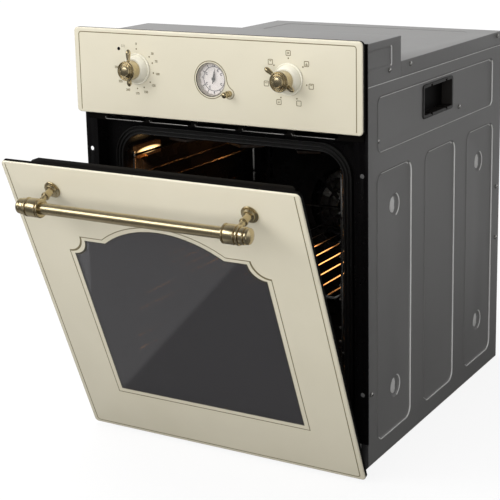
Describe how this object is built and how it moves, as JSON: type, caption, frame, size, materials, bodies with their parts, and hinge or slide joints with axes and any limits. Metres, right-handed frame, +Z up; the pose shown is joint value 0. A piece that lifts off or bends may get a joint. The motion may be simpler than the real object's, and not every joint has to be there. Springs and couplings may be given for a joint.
{
  "type": "built-in oven",
  "caption": "Slim built-in oven with a cream glass front, an arched door window, a brass bar handle, brass lever knobs and a clock, its door standing ajar.",
  "frame": {"origin": "centre of the chassis underside", "axes": "+Z up, the front faces -Y, +X to the right of someone who faces the oven"},
  "size_m": [0.45, 0.751, 0.595],
  "materials": {
    "cream_glass": "glossy, printed cream on its back",
    "window_glass": "glossy, smoked",
    "clear_glass": "clear",
    "lamp_glass": "frosted",
    "indicator": "glossy",
    "cream_plastic": "satin",
    "satin_brass": "satin antique",
    "black_enamel": "semi-gloss",
    "cavity_enamel": "glossy enamel",
    "grey_sheet": "satin",
    "zinc_sheet": "zinc-plated",
    "motor_steel": "satin",
    "element_steel": "heat-darkened",
    "chrome_wire": "polished",
    "black_plastic": "matt",
    "gasket": "matt",
    "mineral_wool": "fibrous",
    "dial_card": "matt print",
    "clock_hand": "semi-gloss"
  },
  "bodies": {
    "oven_body": {"base_pan": "zinc_sheet", "side_panel_left": "grey_sheet", "side_panel_right": "grey_sheet", "rear_panel": "zinc_sheet", "top_cover": "zinc_sheet", "control_box_cover": "zinc_sheet", "front_frame": "black_enamel", "air_duct_plate": "zinc_sheet", "control_panel": "cream_glass", "panel_carrier": "black_plastic", "cavity_liner": "cavity_enamel", "insulation_wrap": "mineral_wool", "door_gasket": "gasket", "grip_pocket_left": "black_plastic", "grip_pocket_right": "black_plastic", "fan_cover": "cavity_enamel", "convection_motor": "motor_steel", "ring_element": "element_steel", "grill_element": "element_steel", "bottom_element": "element_steel", "lamp_holder": "zinc_sheet", "lamp_lens": "lamp_glass", "side_rack_left": "chrome_wire", "side_rack_right": "chrome_wire", "hinge_receiver_left": "zinc_sheet", "hinge_receiver_right": "zinc_sheet", "temperature_bezel": "cream_plastic", "function_bezel": "cream_plastic", "thermostat": "motor_steel", "selector_switch": "black_plastic", "clock_housing": "zinc_sheet", "clock_dial": "dial_card", "clock_glass": "clear_glass", "clock_movement": "black_plastic", "indicator_lens": "indicator", "cooling_blower_housing": "zinc_sheet", "mains_inlet": "black_plastic"},
    "door": {"door_panel": "cream_glass", "door_window": "window_glass", "door_middle_glass": "clear_glass", "door_inner_glass": "clear_glass", "door_top_rail": "black_plastic", "door_side_rail_left": "black_plastic", "door_side_rail_right": "black_plastic", "door_bottom_rail": "black_plastic", "handle_bar": "satin_brass", "handle_ferrule_left": "satin_brass", "handle_ferrule_right": "satin_brass", "handle_post_left": "satin_brass", "handle_post_right": "satin_brass", "door_hinge_left": "zinc_sheet", "door_hinge_right": "zinc_sheet"},
    "temperature_dial": {"temperature_knob": "satin_brass"},
    "function_dial": {"function_knob": "satin_brass"},
    "clock_setter": {"clock_knob": "satin_brass"},
    "clock_minutes": {"minute_hand": "clock_hand"},
    "clock_hours": {"hour_hand": "clock_hand"},
    "hot_air_fan": {"convection_fan": "zinc_sheet"},
    "cooling_fan": {"cooling_rotor": "zinc_sheet"},
    "shelf": {"wire_shelf": "chrome_wire"}
  },
  "joints": [
    {"name": "door_hinge", "type": "hinge", "parent": "oven_body", "child": "door", "pos_m": [0, -0.28065, 0.0215], "axis": [1, 0, 0], "range_deg": [-22, 68]},
    {"name": "temperature_turn", "type": "hinge", "parent": "oven_body", "child": "temperature_dial", "pos_m": [-0.119, -0.29365, 0.5415], "axis": [0, 1, 0], "range_deg": [0, 280]},
    {"name": "function_turn", "type": "hinge", "parent": "oven_body", "child": "function_dial", "pos_m": [0.119, -0.29365, 0.5415], "axis": [0, 1, 0], "continuous": true},
    {"name": "clock_setting", "type": "hinge", "parent": "oven_body", "child": "clock_setter", "pos_m": [0.029, -0.29365, 0.5165], "axis": [0, 1, 0], "continuous": true},
    {"name": "minute_turn", "type": "hinge", "parent": "oven_body", "child": "clock_minutes", "pos_m": [0, -0.28745, 0.5335], "axis": [0, 1, 0], "continuous": true},
    {"name": "hour_turn", "type": "hinge", "parent": "oven_body", "child": "clock_hours", "pos_m": [0, -0.28645, 0.5335], "axis": [0, 1, 0], "continuous": true},
    {"name": "hot_air_fan_spin", "type": "hinge", "parent": "oven_body", "child": "hot_air_fan", "pos_m": [0, 0.13035, 0.268], "axis": [0, 1, 0], "continuous": true},
    {"name": "cooling_fan_spin", "type": "hinge", "parent": "oven_body", "child": "cooling_fan", "pos_m": [0, -0.18165, 0.496], "axis": [1, 0, 0], "continuous": true},
    {"name": "shelf_slide", "type": "slide", "parent": "oven_body", "child": "shelf", "axis": [0, -1, 0], "range_m": [0, 0.09]}
  ],
  "couplings": [
    {"joint": "minute_turn", "follows": "clock_setting", "ratio": 1},
    {"joint": "hour_turn", "follows": "clock_setting", "ratio": 0.083333}
  ]
}
